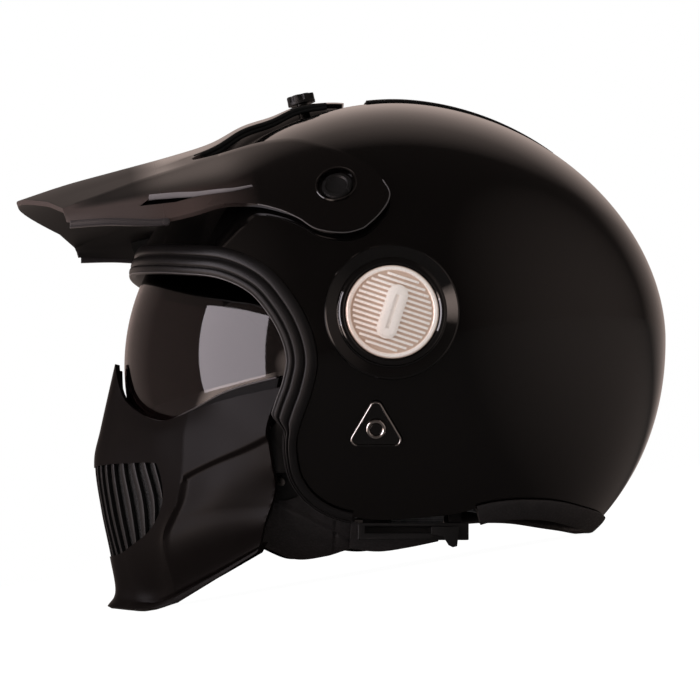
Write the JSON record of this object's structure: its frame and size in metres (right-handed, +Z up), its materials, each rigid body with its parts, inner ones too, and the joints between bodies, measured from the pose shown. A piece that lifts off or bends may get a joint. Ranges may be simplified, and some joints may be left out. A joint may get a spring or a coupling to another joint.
{
  "type": "modular motorcycle helmet",
  "caption": "Open-face shell with a screwed peak, a drop-down smoked visor worked by a lever, and a face mask with a grille that slides off its brackets.",
  "frame": {"origin": "middle of the overall box, on the surface that the helmet rests on", "axes": "+Z up, -Y the way the wearer looks, +X to the wearer's left; the helmet stands on its chin lip and its nape trim, which pitches it back by about ten degrees"},
  "size_m": [0.2552, 0.3198, 0.2505],
  "materials": {
    "gloss_black": "gloss",
    "satin_black": "satin",
    "foam": "matte",
    "lining_cloth": "matte",
    "trim_rubber": "satin",
    "trim_leather": "satin",
    "filter_foam": "matte",
    "smoke_lens": "gloss",
    "gold_metal": "satin",
    "bright_chrome": "polished",
    "steel": "satin",
    "webbing": "matte"
  },
  "bodies": {
    "helmet": {"outer_shell": "gloss_black", "foam_liner": "foam", "crown_pad": "lining_cloth", "cheek_pad_left": "lining_cloth", "cheek_pad_right": "lining_cloth", "neck_roll": "lining_cloth", "face_trim": "trim_rubber", "nape_trim": "trim_leather", "lower_cover_left": "trim_leather", "lower_cover_right": "trim_leather", "crown_strip": "satin_black", "peak_screw_left": "satin_black", "peak_screw_right": "satin_black", "crown_screw": "satin_black", "visor_pivot_left": "satin_black", "visor_pivot_right": "satin_black", "lever_rail": "satin_black", "mask_bracket_left": "satin_black", "mask_bracket_right": "satin_black", "bracket_screws": "steel", "pivot_bezel_left": "gloss_black", "pivot_bezel_right": "gloss_black", "pivot_cap_left": "gold_metal", "pivot_cap_right": "gold_metal", "latch_plate_left": "satin_black", "latch_plate_right": "satin_black", "latch_collar_left": "bright_chrome", "latch_collar_right": "bright_chrome", "latch_spring_left": "steel", "latch_spring_right": "steel", "strap_left": "webbing", "strap_right": "webbing", "strap_rivets": "steel", "strap_rings": "steel"},
    "peak": {"peak": "gloss_black"},
    "visor": {"visor_lens": "smoke_lens", "visor_hub_left": "satin_black", "visor_hub_right": "satin_black"},
    "lever": {"visor_lever": "satin_black"},
    "mask": {"mask_shell": "gloss_black", "mask_grille": "satin_black", "mask_filter": "filter_foam", "mask_blade": "satin_black", "mask_lining": "filter_foam", "mask_tongue_left": "satin_black", "mask_tongue_right": "satin_black"},
    "button_left": {"latch_button_left": "gloss_black"},
    "button_right": {"latch_button_right": "gloss_black"}
  },
  "joints": [
    {"name": "peak_tilt", "type": "hinge", "parent": "helmet", "child": "peak", "pos_m": [0, -0.00255, 0.1861], "axis": [-1, 0, 0], "range_deg": [-4, 2.5]},
    {"name": "visor_drop", "type": "hinge", "parent": "helmet", "child": "visor", "pos_m": [0, -0.00994, 0.1072], "axis": [-1, 0, 0], "range_deg": [0, 50]},
    {"name": "lever_slide", "type": "slide", "parent": "helmet", "child": "lever", "axis": [0, -0.9851, 0.172], "range_m": [0, 0.0361]},
    {"name": "mask_slide", "type": "slide", "parent": "helmet", "child": "mask", "axis": [0, -0.9851, 0.172], "range_m": [0, 0.06]},
    {"name": "button_left_press", "type": "slide", "parent": "helmet", "child": "button_left", "axis": [-0.9599, 0.1194, 0.2535], "range_m": [0, 0.002], "stiffness_N_per_m": 800, "deforming": ["latch_spring_left"]},
    {"name": "button_right_press", "type": "slide", "parent": "helmet", "child": "button_right", "axis": [0.9599, 0.1194, 0.2535], "range_m": [0, 0.002], "stiffness_N_per_m": 800, "deforming": ["latch_spring_right"]}
  ],
  "couplings": [
    {"joint": "lever_slide", "follows": "visor_drop", "m_per_rad": 0.041253}
  ]
}
